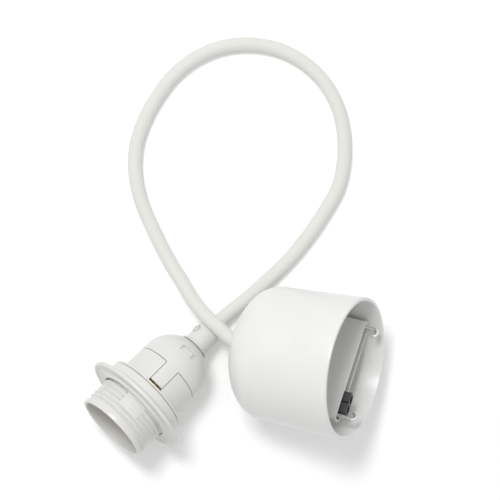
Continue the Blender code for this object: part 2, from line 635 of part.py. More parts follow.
def build_terminal_block(parent, black, brass, steel):
    """Two-pole block near one end of the housing, with a brass barrel and a screw in each pole."""
    floor = HOUSING_WALL + GAP - HOUSING_HEIGHT / 2.0
    half_pole, half_waist = BLOCK_POLE_WIDTH / 2.0, BLOCK_WAIST / 2.0
    top = floor + BLOCK_HEIGHT
    middle = floor + BLOCK_HEIGHT / 2.0
    front = BLOCK_STANDS_OUT
    back = front - BLOCK_LENGTH
    poles = (-BLOCK_PLACE - half_pole, -BLOCK_PLACE + half_pole)
    outline = [(poles[0] - half_pole, floor), (poles[1] + half_pole, floor), (poles[1] + half_pole, top)]
    outline += [(poles[1] - half_pole + GAP, top), (-BLOCK_PLACE, middle + half_waist),
                (poles[0] + half_pole - GAP, top), (poles[0] - half_pole, top)]
    block = add_object("terminal_block", prism_mesh("terminal_block", outline, back, front), black, parent,
                       smooth=False)
    for pole in poles:
        bore = rod_mesh("pole_bore", BARREL_RADIUS + GAP, back - GAP, front + GAP, SMALL_FACETS)
        boolean(block, bore, place=Matrix.Translation((pole, middle, 0.0)))
        well = rod_mesh("screw_well", BLOCK_SCREW_RADIUS + GAP, 0.0, BLOCK_HEIGHT, SMALL_FACETS)
        upright = Matrix.Translation((pole, middle, (front + back) / 2.0)) @ Matrix.Rotation(-math.pi / 2.0, 4, "X")
        boolean(block, well, place=upright)

    half_length = (front + back) / 2.0
    for pole, label in zip(poles, ("neutral", "live")):
        along = Matrix.Translation((pole, middle, 0.0))
        barrel = add_object("barrel_" + label, rod_mesh("barrel", BARREL_RADIUS, back + MM, front - MM,
                                                        SMALL_FACETS), brass, parent, along)
        boolean(barrel, rod_mesh("barrel_bore", BARREL_BORE, half_length + MM, front + GAP, SMALL_FACETS))
        upright = Matrix.Translation((pole, middle, half_length)) @ Matrix.Rotation(-math.pi / 2.0, 4, "X")
        add_object("block_screw_" + label, rod_mesh("block_screw", BLOCK_SCREW_RADIUS, BARREL_RADIUS + GAP,
                                                    BLOCK_HEIGHT / 2.0, SMALL_FACETS), steel, parent, upright)
    return poles, middle, back


def build_cup_wires(parent, poles, middle, back, brown, blue):
    """Two wires from the cord's end to the back of the terminal block, one above the other."""
    start = cord_end_in_housing() + 3.0 * GAP
    apart = WIRE_DIAMETER + GAP
    thickness = 0.85 * WIRE_DIAMETER
    upper, lower = middle + 0.3 * apart, middle - 0.6 * apart
    behind = back - apart
    paths = (
        ("cup_wire_live", brown, poles[0], upper,
         ((0.1, start), (0.25, start + 0.9 * apart), (0.68, behind - 0.9 * apart), (0.94, behind - 0.2 * apart))),
        ("cup_wire_neutral", blue, poles[1], lower,
         ((-0.05, start), (0.25, start + 1.0 * apart), (0.7, behind - 0.3 * apart), (0.98, behind + 0.3 * apart))),
    )
    for name, colour, pole, height, path in paths:
        points = [Vector((pole * share, height, along)) for share, along in path]
        points += [Vector((pole, middle, back - GAP))]
        wire(name, smooth_route(points, 16), thickness, colour, parent, 1)


def build_cord(white, black):
    """The free cord, and the ring on it that keeps the cup from sliding off."""
    route = smooth_route([Vector(point) * MM for point in CORD_ROUTE], CORD_POINTS)
    wire("cord", route, CORD_DIAMETER, white, None, 2)
    step = (route[1] - route[0]).length
    index = CORD_POINTS - 1 - round(CORD_STOP_FROM_END / step)
    along = (route[index + 1] - route[index - 1]).normalized()
    place = frame("cord_stop_frame", route[index], along, Vector((0.0, 0.0, 1.0)))
    bore = CORD_DIAMETER / 2.0 + GAP
    half = CORD_STOP_LENGTH / 2.0
    section = [(-half, bore), (-half, CORD_STOP_RADIUS - LIP_ROUND), (LIP_ROUND - half, CORD_STOP_RADIUS),
               (half - LIP_ROUND, CORD_STOP_RADIUS), (half, CORD_STOP_RADIUS - LIP_ROUND), (half, bore)]
    add_object("cord_stop", turned_mesh("cord_stop", section, SMALL_FACETS), black, place)


def build_part():
    clear_scene()
    white = finish("white_plastic", (0.80, 0.79, 0.77), 0.35)
    textile = finish("white_textile", (0.79, 0.79, 0.75), 0.85)
    ceramic = finish("ceramic", (0.80, 0.79, 0.76), 0.3)
    brass = finish("brass", (0.75, 0.55, 0.26), 0.3, 1.0)
    steel = finish("steel", (0.62, 0.62, 0.62), 0.3, 1.0)
    black = finish("black_plastic", (0.02, 0.02, 0.02), 0.45)
    brown = finish("brown_wire", (0.15, 0.06, 0.03), 0.5)
    blue = finish("blue_wire", (0.04, 0.12, 0.42), 0.5)

    up = Vector((0.0, 0.0, 1.0))
    back = Vector((math.cos(HOLDER_HEADING) * math.cos(HOLDER_DROP),
                   math.sin(HOLDER_HEADING) * math.cos(HOLDER_DROP), -math.sin(HOLDER_DROP)))
    holder = frame("holder_frame", Vector((*HOLDER_MOUTH_PLACE, mouth_height())), back, up)
    build_threaded_skirt(holder, white)
    build_shade_ring(holder, white)
    build_holder_cap(holder, white)
    build_nipple(holder, white, steel)
    build_contact_insert(holder, ceramic, brass, steel, brown, blue)

    opens = Vector((math.cos(CUP_HEADING) * math.cos(CUP_RISE), math.sin(CUP_HEADING) * math.cos(CUP_RISE),
                    math.sin(CUP_RISE)))
    shoulder = Vector((*CUP_SHOULDER_PLACE, shoulder_height()))
    cup = frame("cup_frame", shoulder - opens * CUP_DOME_DEPTH, opens, up)
    build_ceiling_cup(cup, white)
    housing = housing_frame(cup)
    build_terminal_housing(housing, white)
    build_bracket(housing, steel)
    poles, middle, block_back = build_terminal_block(housing, black, brass, steel)
    build_cup_wires(housing, poles, middle, block_back, brown, blue)

    build_cord(textile, black)


build_part()
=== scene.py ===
"""Look of the pendant lamp set: materials, finer pieces over the frame, camera, light and floor.

Lengths are in metres in the frame's own axes: the set lies on the floor at height 0 and the camera looks
straight down on it, with +Y towards the top of the picture.
"""

import json
import math

import bmesh
import bpy
from mathutils import Matrix, Vector


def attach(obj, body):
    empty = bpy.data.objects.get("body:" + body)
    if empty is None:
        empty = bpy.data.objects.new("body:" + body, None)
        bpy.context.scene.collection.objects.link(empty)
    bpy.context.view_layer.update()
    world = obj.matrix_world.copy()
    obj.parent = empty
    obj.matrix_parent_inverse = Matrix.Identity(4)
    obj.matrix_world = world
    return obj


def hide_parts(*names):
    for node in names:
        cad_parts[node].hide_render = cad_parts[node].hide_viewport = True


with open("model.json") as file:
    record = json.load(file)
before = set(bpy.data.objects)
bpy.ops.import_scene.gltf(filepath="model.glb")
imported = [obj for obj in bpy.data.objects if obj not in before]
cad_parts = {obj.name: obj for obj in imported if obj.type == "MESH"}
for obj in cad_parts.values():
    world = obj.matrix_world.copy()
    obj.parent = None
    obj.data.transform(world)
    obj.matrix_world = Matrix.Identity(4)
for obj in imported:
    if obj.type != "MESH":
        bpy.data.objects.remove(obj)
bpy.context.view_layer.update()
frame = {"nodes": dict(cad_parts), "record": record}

MM = 0.001
GAP = 0.3 * MM
SKIN = 0.02 * MM
BODY = "pendant"
RING_BODY = "shade_ring"
UP = Vector((0.0, 0.0, 1.0))

# Camera
CAMERA_PLACE = (7.85 * MM, 62.4 * MM, 900.0 * MM)
VIEW_WIDTH_AT_FLOOR = 265.8 * MM
SENSOR_WIDTH_MM = 36.0

# Light and surroundings
KEY_PLACE = (-0.24, 0.52, 1.28)
KEY_TARGET = (0.0, 0.05, 0.0)
KEY_SIZE = 0.34
KEY_POWER = 9.0
SKY_STRENGTH = 0.60
FLOOR_COLOUR = 0.93
FLOOR_LIFT = 0.13
FLOOR_HALF_WIDTH = 6.0

# Lampholder
HOLDER_MOUTH_PLACE = (-63.2 * MM, -29.1 * MM)
HOLDER_HEADING = math.radians(44.3)
HOLDER_DROP = math.radians(19.0)
SKIRT_BAND_RADIUS = 19.6 * MM
SKIRT_BAND_LENGTH = 2.3 * MM
SKIRT_BAND_STEP = 0.3 * MM
SKIRT_BORE_RADIUS = 17.9 * MM
LIP_ROUND = 0.35 * MM
LIP_CORNER = 0.1 * MM
LIP_CORNER_SHARE = 0.3
EDGE_ROUND = 0.2 * MM
THREAD_CREST_RADIUS = 19.7 * MM
THREAD_ROOT_RADIUS = 18.55 * MM
THREAD_PITCH = 2.54 * MM
THREAD_START = 3.5 * MM
THREAD_MARGIN = 1.0 * MM
THREAD_STEPS = 110
RIDGE_HALF_SHARE = 0.36
RIDGE_FULLNESS = 1.15
RIDGE_LEAD = 0.4 * MM
RIDGE_RISES_IN = 0.6 * MM
RIDGE_FADES_IN = 0.8 * MM
THREAD_FLAT_FROM = 8.6 * MM
THREAD_FLAT_HALF_ANGLE = math.radians(19.0)
THREAD_FLAT_HEADING = math.radians(5.0)
FLANGE_FRONT = 26.0 * MM
FLANGE_THICKNESS = 1.1 * MM
FLANGE_RADIUS = 22.3 * MM
BODY_RADIUS = 18.3 * MM
BODY_WALL = 1.4 * MM
PANEL_END = 41.2 * MM
SHELF_FRONT = 31.5 * MM
SHELF_THICKNESS = 1.2 * MM
SHELF_BORE_RADIUS = 14.5 * MM
RING_CLEARANCE = 0.4 * MM
RING_RIM_RADIUS = 29.4 * MM
RING_RIM_THICKNESS = 2.4 * MM
RING_FLANGE_BACK = 21.4 * MM
RING_COLLAR_RADIUS = 22.5 * MM
RING_HUB_FRONT = 16.3 * MM
RING_DISH_DEPTH = 1.5 * MM
RING_HUB_LIP = 1.2 * MM
RING_DISH_ROUND = 0.3 * MM
RING_DISH_FOOT = 2.5 * MM
RING_DISH_SLANT = 0.5 * MM
RING_RIM_WIDTH = 2.7 * MM
RING_ROLL_STEPS = 16
RING_ROLL_FROM_DEGREES = 205.0
RING_ROLL_STEP_DEGREES = 13.5
RING_COLLAR_CURVE = ((-1.2 * MM, 2.0 * MM), (-0.4 * MM, 0.5 * MM), (0.3 * MM, 0.0))
CAP_WALL = 1.6 * MM
CAP_DOME_START = 45.0 * MM
CAP_DOME_DEPTH = 17.4 * MM
CAP_LENGTH = 61.0 * MM
CAP_SPIGOT_LENGTH = 1.9 * MM
CAP_SPIGOT_WALL = 1.3 * MM
NECK_DEPTH = 4.0 * MM
TONGUE_HALF_ANGLE = math.radians(12.3)
TONGUE_HEADING = math.radians(2.2)
TONGUE_END_GAP = 2.2 * MM
TONGUE_SIDE_GAP = 0.35 * MM
CAP_WINDOW_PLACE = 53.4 * MM
CAP_WINDOW_WIDTH = 8.4 * MM
CAP_WINDOW_LENGTH = 3.8 * MM
CAP_WINDOW_DEPTH = 1.3 * MM
CAP_DOME_STEPS = 32
CAP_INNER_STEPS = 8
TAB_SIDE_GAP = 1.2 * MM
TAB_END_GAP = 0.2 * MM
TAB_FOOT = 0.05 * MM
TAB_BELOW_DOME = 0.22 * MM
TAB_EDGE = 0.15 * MM
NIPPLE_RADIUS = 6.7 * MM
NIPPLE_LENGTH = 12.7 * MM
NIPPLE_ROUND = 1.1 * MM
NIPPLE_ROUND_STEPS = 8
NIPPLE_EDGE = 0.25 * MM
NIPPLE_FLANGE_RADIUS = 7.9 * MM
NIPPLE_FLANGE_THICKNESS = 1.0 * MM
NIPPLE_THREAD_RADIUS = 5.4 * MM
GRIP_SCREW_RADIUS = 2.0 * MM
GRIP_SCREW_PLACE = 7.7 * MM
GRIP_SCREW_HEADING = math.radians(66.0)

# Ceiling cup
CUP_SHOULDER_PLACE = (20.4 * MM, 9.5 * MM)
CUP_HEADING = math.radians(-9.2)
CUP_RISE = math.radians(26.0)
CUP_DOME_DEPTH = 19.5 * MM
CUP_SHOULDER_RADIUS = 34.5 * MM
CUP_RIM_RADIUS = 36.2 * MM
CUP_SIDE_LENGTH = 45.7 * MM
CUP_WALL = 1.8 * MM
CUP_HOLE_RADIUS = 4.7 * MM
CUP_DOME_STEPS = 48
CUP_INNER_STEPS = 32
CUP_SIDE_STEPS = 12
# Gate mark on the cup's dome, painted a little darker: painted shade in place of its small dimple
GATE_MARK_PLACE = (7.9 * MM, 15.4 * MM, 58.0 * MM)
GATE_MARK_RADIUS = 1.0 * MM
GATE_MARK_CORE = 0.55
GATE_SHADE_STRENGTH = 0.45
GATE_SHADE_DARKNESS = 0.62

# Cord: the route of its centre in millimetres, the same as in the part's source
CORD_ROUTE = (
    (-24.6, 8.6, 15.2), (-18.5, 14.6, 12.3), (-13.1, 19.9, 9.7), (-9.1, 23.9, 7.7), (-4.9, 27.8, 5.8),
    (5.4, 36.1, 4.0), (17.4, 46.6, 3.75), (28.3, 57.2, 3.75), (37.1, 67.8, 3.75), (44.6, 78.4, 3.75),
    (53.8, 94.1, 3.75), (57.3, 108.0, 3.75), (57.6, 122.5, 3.75), (54.6, 137.1, 3.75),
    (47.6, 150.6, 3.75), (36.6, 161.5, 3.75), (22.9, 168.6, 3.75), (7.7, 171.3, 3.75),
    (-7.5, 169.7, 3.75), (-21.3, 163.8, 3.75), (-32.6, 154.8, 3.75), (-41.3, 143.5, 3.75),
    (-48.0, 131.2, 3.75), (-52.4, 117.6, 3.75), (-52.9, 103.0, 3.75), (-49.8, 88.4, 3.75),
    (-43.7, 74.0, 4.3), (-35.2, 57.3, 6.6), (-28.6, 46.9, 9.6), (-22.3, 36.5, 13.1),
    (-15.7, 28.7, 16.4), (-8.6, 22.0, 19.6), (-1.0, 15.4, 22.4), (3.1, 12.8, 23.8),
    (8.1, 10.4, 25.0), (14.3, 9.2, 25.6), (20.3, 8.5, 25.9), (25.9, 7.7, 26.5), (32.0, 6.3, 27.7),
    (35.7, 5.5, 28.8),
)
CORD_DIAMETER = 7.4 * MM
CORD_RINGS = 900
CORD_FACETS = 28
CORD_PLACE = "cord_place"
CORD_SEED = 4
CORD_UNEVENNESS = 0.10 * MM
CORD_LUMPS_PER_METRE = 260.0
ROUTE_STEPS = 12
BRAID_LENGTH = 1.9 * MM
BRAID_STRANDS = 16
BRAID_THREADS = 5.0
BRAID_CROSSING = 0.15
BRAID_SEAM = 0.3
# How much threads, seams and fuzz weigh in the braid's relief, and in its colour: painted shade in the seams
# and between threads, random tone from the fuzz
BRAID_RELIEF = (0.22, 0.45, 0.5)
BRAID_PAINTED_SHADE_AND_TONE = (0.16, 0.22, 0.25)
BRAID_DEPTH = 0.10 * MM

# Facets round a finely turned piece
CUP_FACETS = 192
HOLDER_FACETS = 144
SMALL_FACETS = 64
HOLE_FACETS = 32

# Angles past which an edge is drawn sharp, or takes a bevel
SHARP_ANGLE = math.radians(32.0)
BEVEL_ANGLE = math.radians(40.0)

# Colours
HOLDER_WHITE = (0.74, 0.735, 0.715)
CUP_WHITE = (0.81, 0.81, 0.80)
BRAID_PALE = (0.80, 0.80, 0.765)
BRAID_SHADED = (0.58, 0.58, 0.54)
BRAID_CLOUDED = (0.76, 0.76, 0.72)
BRASS = (0.78, 0.58, 0.28)
BRASS_TARNISH = (0.52, 0.36, 0.15)
STEEL = (0.72, 0.72, 0.71)
STEEL_TARNISH = (0.55, 0.55, 0.54)
CERAMIC_PALE = (0.80, 0.79, 0.76)
CERAMIC_WARM = (0.74, 0.73, 0.69)
CERAMIC_SPECK = (0.45, 0.42, 0.37)
BLACK = (0.022, 0.022, 0.024)
BROWN = (0.16, 0.07, 0.035)
BLUE = (0.045, 0.13, 0.42)

# Moulded plastic: depth of its grain, and the shares and spreads of its patterns
PLASTIC_GRAIN = 0.048 * MM
CUP_GRAIN = 0.040 * MM
PEEL_SHARE = 0.6
SCUFF_SPREAD = 0.18
PLASTIC_IOR = 1.49
CLOUD_RANGE = (0.3, 0.7)

# How finely each pattern of the materials repeats, in rounds for a metre
CLOUD_SCALE = 45.0
SCUFF_SCALE = 650.0
PEEL_SCALE = 420.0
GRAIN_SCALE = 2600.0
FUZZ_SCALE = 5200.0
BRAID_CLOUD_SCALE = 70.0
FILM_SCALE = 160.0
PIT_SCALE = 3400.0
SPECK_SCALE = 1900.0
GLAZE_SCALE = 90.0


class Shade:
    """A socket in a node tree that can be used in sums, with one method for any other node."""

    def __init__(self, tree, source):
        self.tree = tree
        self.source = source

    def node(self, kind, inputs, output=0, **settings):
        made = self.tree.nodes.new(kind)
        for name, value in settings.items():
            setattr(made, name, value)
        for name, value in inputs.items():
            if isinstance(value, Shade):
                self.tree.links.new(value.source, made.inputs[name])
            else:
                made.inputs[name].default_value = value
        return Shade(self.tree, made.outputs[output])

    def math(self, operation, first, second=0.0):
        return self.node("ShaderNodeMath", {0: first, 1: second}, operation=operation)

    def __add__(self, other):
        return self.math("ADD", self, other)

    def __radd__(self, other):
        return self.math("ADD", other, self)

    def __sub__(self, other):
        return self.math("SUBTRACT", self, other)

    def __rsub__(self, other):
        return self.math("SUBTRACT", other, self)

    def __mul__(self, other):
        return self.math("MULTIPLY", self, other)

    def __rmul__(self, other):
        return self.math("MULTIPLY", other, self)

    def sine(self):
        return self.math("SINE", self)

    def larger(self, other):
        return self.math("MAXIMUM", self, other)

    def step_between(self, low, high, start=0.0, end=1.0):
        return self.node("ShaderNodeMapRange", {0: self, 1: low, 2: high, 3: start, 4: end},
                         interpolation_type="SMOOTHSTEP")

    def noise(self, scale, detail=3.0, roughness=0.5):
        return self.node("ShaderNodeTexNoise", {"Vector": self, "Scale": scale, "Detail": detail,
                                                "Roughness": roughness})

    def mixed(self, first, second):
        """Colour that goes from first to second as this socket goes from 0 to 1."""
        first, second = (colour if isinstance(colour, Shade) else (*colour, 1.0)
                         for colour in (first, second))
        return self.node("ShaderNodeMix", {0: self, 6: first, 7: second}, 2, data_type="RGBA")

    def bump(self, distance, strength):
        return self.node("ShaderNodeBump", {"Height": self, "Distance": distance, "Strength": strength})


def new_material(name):
    """Material with its shader, and its Object coordinates as a Shade."""
    material = bpy.data.materials.new(name)
    material.use_nodes = True
    tree = material.node_tree
    shader = tree.nodes["Principled BSDF"]
    places = tree.nodes.new("ShaderNodeTexCoord")
    return material, shader, Shade(tree, places.outputs["Object"])


def feed(shader, name, value):
    """Links a Shade to one of the shader's sockets."""
    value.tree.links.new(value.source, shader.inputs[name])


def scaled(colour, factor):
    return tuple(part * factor for part in colour)


def plastic(name, colour, roughness, tone=0.02, grain=PLASTIC_GRAIN, mark=None):
    """Moulded plastic: a faint cloudy tone, an orange-peel surface, fine scuffs and, at a given mark, a spot
    of painted shade.
    """
    material, shader, place = new_material(name)
    cloud = place.noise(CLOUD_SCALE, 4.0)
    scuff = place.noise(SCUFF_SCALE, 5.0, 0.7)
    peel = place.noise(PEEL_SCALE, 2.0)
    fine = place.noise(GRAIN_SCALE, 2.0)
    shown = cloud.step_between(*CLOUD_RANGE).mixed(scaled(colour, 1.0 - tone), scaled(colour, 1.0 + tone))
    height = peel * PEEL_SHARE + fine * (1.0 - PEEL_SHARE)
    # A darker spot at the gate mark: painted shade standing in for the dimple there
    if mark is not None:
        away = place.node("ShaderNodeVectorMath", {0: place, 1: mark}, "Value", operation="DISTANCE")
        painted_dimple_shade = away.step_between(GATE_MARK_CORE * GATE_MARK_RADIUS, GATE_MARK_RADIUS, 1.0, 0.0)
        shown = (painted_dimple_shade * GATE_SHADE_STRENGTH).mixed(shown, scaled(colour, GATE_SHADE_DARKNESS))
    feed(shader, "Base Color", shown)
    feed(shader, "Roughness", roughness + (scuff - 0.5) * SCUFF_SPREAD)
    feed(shader, "Normal", height.bump(grain, 0.5))
    shader.inputs["IOR"].default_value = PLASTIC_IOR
    return material


def textile():
    """Braided textile sleeve: two sets of strands that wind opposite ways over and under each other, with
    painted shade in the seams and between the threads.
    """
    material, shader, place = new_material("white_textile")
    read = place.node("ShaderNodeAttribute", {}, "Vector", attribute_name=CORD_PLACE)
    parts = read.node("ShaderNodeSeparateXYZ", {0: read}).source.node
    along = Shade(place.tree, parts.outputs[0])
    angle = place.math("ARCTAN2", Shade(place.tree, parts.outputs[2]), Shade(place.tree, parts.outputs[1]))
    turns = angle * (BRAID_STRANDS / 2.0)
    travel = along * (math.pi / BRAID_LENGTH)
    left = (travel + turns).sine()
    right = (travel - turns).sine()
    over = left * right
    threads_left = (travel * BRAID_THREADS + turns * BRAID_THREADS).sine()
    threads_right = (travel * BRAID_THREADS - turns * BRAID_THREADS).sine()
    which = over.step_between(-BRAID_CROSSING, BRAID_CROSSING)
    threads = threads_left * which + threads_right * (1.0 - which)
    seam = 1.0 - over.math("ABSOLUTE", over).step_between(0.0, BRAID_SEAM)
    fuzz = place.noise(FUZZ_SCALE, 2.0)
    cloud = place.noise(BRAID_CLOUD_SCALE, 3.0)
    thread_relief, seam_relief, fuzz_relief = BRAID_RELIEF
    height = 0.5 + threads * thread_relief - seam * seam_relief + (fuzz - 0.5) * fuzz_relief
    # Painted shade in the colour: darker in the seams between strands and in the valleys between threads,
    # with random tone from the fuzz
    thread_shade, seam_shade, fuzz_tone = BRAID_PAINTED_SHADE_AND_TONE
    painted_shade_and_fuzz = seam * seam_shade + (0.5 - threads * 0.5) * thread_shade + (fuzz - 0.5) * fuzz_tone
    braid_colour_with_painted_shade = painted_shade_and_fuzz.larger(0.0).mixed(BRAID_PALE, BRAID_SHADED)
    shown = (cloud.step_between(0.35, 0.65) * 0.25).mixed(braid_colour_with_painted_shade, BRAID_CLOUDED)
    feed(shader, "Base Color", shown)
    feed(shader, "Roughness", 0.86 + (fuzz - 0.5) * 0.12)
    feed(shader, "Normal", height.bump(BRAID_DEPTH, 0.7))
    shader.inputs["Sheen Weight"].default_value = 0.25
    shader.inputs["Sheen Roughness"].default_value = 0.5
    return material


def metal(name, colour, roughness, tarnish, streak_scale):
    """Plated or drawn metal with faint streaks, a duller film and small pits."""
    material, shader, place = new_material(name)
    stretch = place.node("ShaderNodeVectorMath", {0: place, 1: (1.0, 1.0, 6.0)}, operation="MULTIPLY")
    streaks = stretch.noise(streak_scale, 4.0, 0.6)
    film = place.noise(FILM_SCALE, 4.0)
    pits = place.noise(PIT_SCALE, 2.0)
    feed(shader, "Base Color", film.step_between(0.35, 0.7).mixed(colour, tarnish))
    feed(shader, "Roughness", roughness + (streaks - 0.5) * 0.25)
    feed(shader, "Normal", (streaks * 0.5 + pits * 0.5).bump(0.02 * MM, 0.4))
    shader.inputs["Metallic"].default_value = 1.0
    return material


def glazed_ceramic():
    """Steatite insert: a warm white body with fine specks under a thin glaze."""
    material, shader, place = new_material("ceramic")
    specks = place.noise(SPECK_SCALE, 3.0).step_between(0.62, 0.72)
    cloud = place.noise(GLAZE_SCALE, 3.0)
    tone = cloud.step_between(*CLOUD_RANGE).mixed(CERAMIC_PALE, CERAMIC_WARM)
    feed(shader, "Base Color", (specks * 0.4).mixed(tone, CERAMIC_SPECK))
    feed(shader, "Roughness", 0.28 + cloud * 0.15)
    feed(shader, "Normal", cloud.bump(0.05 * MM, 0.4))
    return material


def frame_matrix(origin, along):
    """Z runs along a piece's axis and Y points up as far as it can."""
    side = UP.cross(along).normalized()
    turn = Matrix((side, along.cross(side), along)).transposed()
    return Matrix.Translation(origin) @ turn.to_4x4()


def ring_rim_middle():
    return RING_HUB_FRONT + RING_DISH_DEPTH / 2.0 + RING_RIM_THICKNESS / 2.0


def holder_frame():
    half = RING_RIM_THICKNESS / 2.0
    height = (ring_rim_middle() * math.sin(HOLDER_DROP)
              + (RING_RIM_RADIUS - half) * math.cos(HOLDER_DROP) + half)
    back = Vector((math.cos(HOLDER_HEADING) * math.cos(HOLDER_DROP),
                   math.sin(HOLDER_HEADING) * math.cos(HOLDER_DROP), -math.sin(HOLDER_DROP)))
    return frame_matrix(Vector((*HOLDER_MOUTH_PLACE, height)), back)


def cup_frame():
    height = math.hypot(CUP_DOME_DEPTH * math.sin(CUP_RISE), CUP_SHOULDER_RADIUS * math.cos(CUP_RISE))
    opens = Vector((math.cos(CUP_HEADING) * math.cos(CUP_RISE),
                    math.sin(CUP_HEADING) * math.cos(CUP_RISE), math.sin(CUP_RISE)))
    return frame_matrix(Vector((*CUP_SHOULDER_PLACE, height)) - opens * CUP_DOME_DEPTH, opens)


def link(name, data):
    made = bpy.data.objects.new(name, data)
    bpy.context.scene.collection.objects.link(made)
    return made


def mesh_from(name, build):
    """Mesh made by a function that fills a bmesh, with its faces turned outwards."""
    work = bmesh.new()
    build(work)
    bmesh.ops.recalc_face_normals(work, faces=work.faces)
    mesh = bpy.data.meshes.new(name)
    work.to_mesh(mesh)
    work.free()
    return mesh


def turned_mesh(name, section, facets, radius_at=None):
    """Ring turned round Z from a closed section of (place along Z, radius) points."""
    def build(work):
        rings = []
        for step in range(facets):
            angle = 2.0 * math.pi * step / facets
            ring = []
            for along, radius in section:
                if radius_at is not None:
                    radius = radius_at(along, radius, angle)
                ring.append(work.verts.new((radius * math.sin(angle), radius * math.cos(angle), along)))
            rings.append(ring)
        for step in range(facets):
            near, far = rings[step], rings[(step + 1) % facets]
            for point in range(len(section)):
                after = (point + 1) % len(section)
                work.faces.new((near[point], near[after], far[after], far[point]))
    return mesh_from(name, build)


def rod_mesh(name, radius, start, end, facets):
    def build(work):
        place = Matrix.Translation((0.0, 0.0, (start + end) / 2.0))
        bmesh.ops.create_cone(work, cap_ends=True, segments=facets, radius1=radius, radius2=radius,
                              depth=end - start, matrix=place)
    return mesh_from(name, build)


def box_mesh(name, low, high):
    def build(work):
        size = [top - bottom for bottom, top in zip(low, high)]
        middle = [(top + bottom) / 2.0 for bottom, top in zip(low, high)]
        place = Matrix.Translation(middle) @ Matrix.Diagonal((*size, 1.0))
        bmesh.ops.create_cube(work, size=1.0, matrix=place)
    return mesh_from(name, build)


def sector_mesh(name, start, end, inner, outer, heading, half_angle, steps=12):
    """Part of a tube: a heading is measured from +Y towards +X."""
    outline = []
    for radius, order in ((outer, 1.0), (inner, -1.0)):
        for step in range(steps + 1):
            angle = heading + order * half_angle * (2.0 * step / steps - 1.0)
            outline.append((radius * math.sin(angle), radius * math.cos(angle)))

    def build(work):
        near = [work.verts.new((x, y, start)) for x, y in outline]
        far = [work.verts.new((x, y, end)) for x, y in outline]
        work.faces.new(near)
        work.faces.new(far)
        for point in range(len(outline)):
            after = (point + 1) % len(outline)
            work.faces.new((near[point], near[after], far[after], far[point]))
    return mesh_from(name, build)


def ellipse(centre, depth, radius, start, end, steps):
    """Points of a dome's section: angle 0 is its widest place and 90 degrees its tip."""
    points = []
    for step in range(steps + 1):
        angle = start + (end - start) * step / steps
        points.append((centre + depth * math.sin(angle), radius * math.cos(angle)))
    return points


def finished(name, mesh, place, cuts=(), joins=(), bevel=0.0):
    """Object at the origin: the mesh with its helpers cut and joined, moved to its place and smoothed."""
    piece = link(name, mesh)
    helpers = []
    for operation, meshes in (("UNION", joins), ("DIFFERENCE", cuts)):
        for helper_mesh, helper_place in meshes:
            helper = link(name + "_helper", helper_mesh)
            helper.matrix_world = helper_place
            modifier = piece.modifiers.new(operation.lower(), "BOOLEAN")
            modifier.object = helper
            modifier.operation = operation
            modifier.solver = "EXACT"
            helpers.append(helper)
    if bevel > 0.0:
        modifier = piece.modifiers.new("edges", "BEVEL")
        modifier.width = bevel
        modifier.segments = 2
        modifier.limit_method = "ANGLE"
        modifier.angle_limit = BEVEL_ANGLE
    bpy.context.view_layer.update()
    baked = bpy.data.meshes.new_from_object(piece.evaluated_get(bpy.context.evaluated_depsgraph_get()))
    piece.modifiers.clear()
    piece.data = baked
    for helper in helpers:
        bpy.data.objects.remove(helper, do_unlink=True)
    baked.transform(place)
    baked.shade_smooth()
    baked.set_sharp_from_angle(angle=SHARP_ANGLE)
    return piece


def dress(piece, material, slot_name, body, *nodes):
    """Gives a piece its material and its body, and hides the nodes that it stands for."""
    piece.data.materials.clear()
    piece.data.materials.append(material)
    if nodes:
        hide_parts(*nodes)
    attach(piece, body)
    return piece


def smooth_route(points, count):
    """Points read at even steps from a smooth curve through the route's own points."""
    ends = [points[0] * 2.0 - points[1]] + list(points) + [points[-1] * 2.0 - points[-2]]
    fine = []
    for index in range(1, len(ends) - 2):
        before, start, end, after = ends[index - 1:index + 3]
        for step in range(ROUTE_STEPS):
            share = step / ROUTE_STEPS
            fine.append(0.5 * (2.0 * start + (end - before) * share
                               + (2.0 * before - 5.0 * start + 4.0 * end - after) * share ** 2
                               + (3.0 * start - before - 3.0 * end + after) * share ** 3))
    fine.append(points[-1])
    lengths = [0.0]
    for near, far in zip(fine, fine[1:]):
        lengths.append(lengths[-1] + (far - near).length)
    even = []
    index = 0
    for step in range(count):
        wanted = lengths[-1] * step / (count - 1)
        while index < len(fine) - 2 and lengths[index + 1] < wanted:
            index += 1
        share = (wanted - lengths[index]) / (lengths[index + 1] - lengths[index])
        even.append(fine[index].lerp(fine[index + 1], min(max(share, 0.0), 1.0)))
    return even, lengths[-1]


